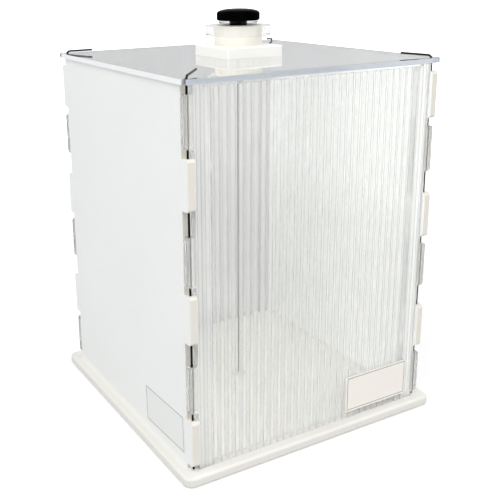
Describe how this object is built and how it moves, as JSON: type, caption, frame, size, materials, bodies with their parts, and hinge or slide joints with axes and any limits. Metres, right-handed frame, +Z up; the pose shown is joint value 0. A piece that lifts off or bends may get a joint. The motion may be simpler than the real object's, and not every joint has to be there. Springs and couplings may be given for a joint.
{
  "type": "cake carrier",
  "caption": "Tall square cake carrier: white base board, clear fluted and solid white walls pinned at knuckled corners, clear lid with hub, centre rod and hand knob.",
  "frame": {"origin": "centre of the base board's underside", "axes": "+Z up, -Y out of the front fluted wall, +X to the right seen from the front"},
  "size_m": [0.452, 0.452, 0.63],
  "materials": {
    "white_board": "satin white",
    "white_fitting": "satin white",
    "steel_rod": "dark drawn steel",
    "clear_flute": "clear twin-wall",
    "white_sheet": "smooth white",
    "clear_edge": "clear moulded",
    "pale_seal": "pale",
    "clear_lid": "clear polished",
    "white_block": "smooth white",
    "clear_hub": "clear polished",
    "screw_steel": "plain",
    "milky_column": "milky white",
    "black_knob": "satin black",
    "insert_brass": "turned",
    "pin_steel": "polished round bar"
  },
  "bodies": {
    "carrier": {"base_board": "white_board", "rod_socket": "white_fitting", "centre_rod": "steel_rod", "front_panel": "clear_flute", "back_panel": "clear_flute", "left_panel": "white_sheet", "right_panel": "white_sheet", "front_left_edge": "clear_edge", "front_right_edge": "clear_edge", "back_left_edge": "clear_edge", "back_right_edge": "clear_edge", "front_top_seal": "pale_seal", "back_top_seal": "pale_seal"},
    "lid": {"lid_plate": "clear_lid", "hub_block": "white_block", "hub_column": "milky_column", "hub_collar": "clear_hub", "hub_screws": "screw_steel"},
    "hand_knob": {"knob": "black_knob", "knob_disc": "clear_hub", "knob_insert": "insert_brass"},
    "front_left_pin_body": {"front_left_pin": "pin_steel"},
    "front_right_pin_body": {"front_right_pin": "pin_steel"},
    "back_left_pin_body": {"back_left_pin": "pin_steel"},
    "back_right_pin_body": {"back_right_pin": "pin_steel"}
  },
  "joints": [
    {"name": "lid_lift", "type": "slide", "parent": "carrier", "child": "lid", "axis": [0, 0, 1], "range_m": [0, 0.55]},
    {"name": "knob_turn", "type": "hinge", "parent": "lid", "child": "hand_knob", "pos_m": [0, 0, 0.62], "axis": [0, 0, 1], "continuous": true},
    {"name": "front_left_pin_turn", "type": "hinge", "parent": "lid", "child": "front_left_pin_body", "pos_m": [-0.204, -0.204, 0.3], "axis": [0, 0, 1], "continuous": true},
    {"name": "front_right_pin_turn", "type": "hinge", "parent": "lid", "child": "front_right_pin_body", "pos_m": [0.204, -0.204, 0.3], "axis": [0, 0, 1], "continuous": true},
    {"name": "back_left_pin_turn", "type": "hinge", "parent": "lid", "child": "back_left_pin_body", "pos_m": [-0.204, 0.204, 0.3], "axis": [0, 0, 1], "continuous": true},
    {"name": "back_right_pin_turn", "type": "hinge", "parent": "lid", "child": "back_right_pin_body", "pos_m": [0.204, 0.204, 0.3], "axis": [0, 0, 1], "continuous": true}
  ]
}
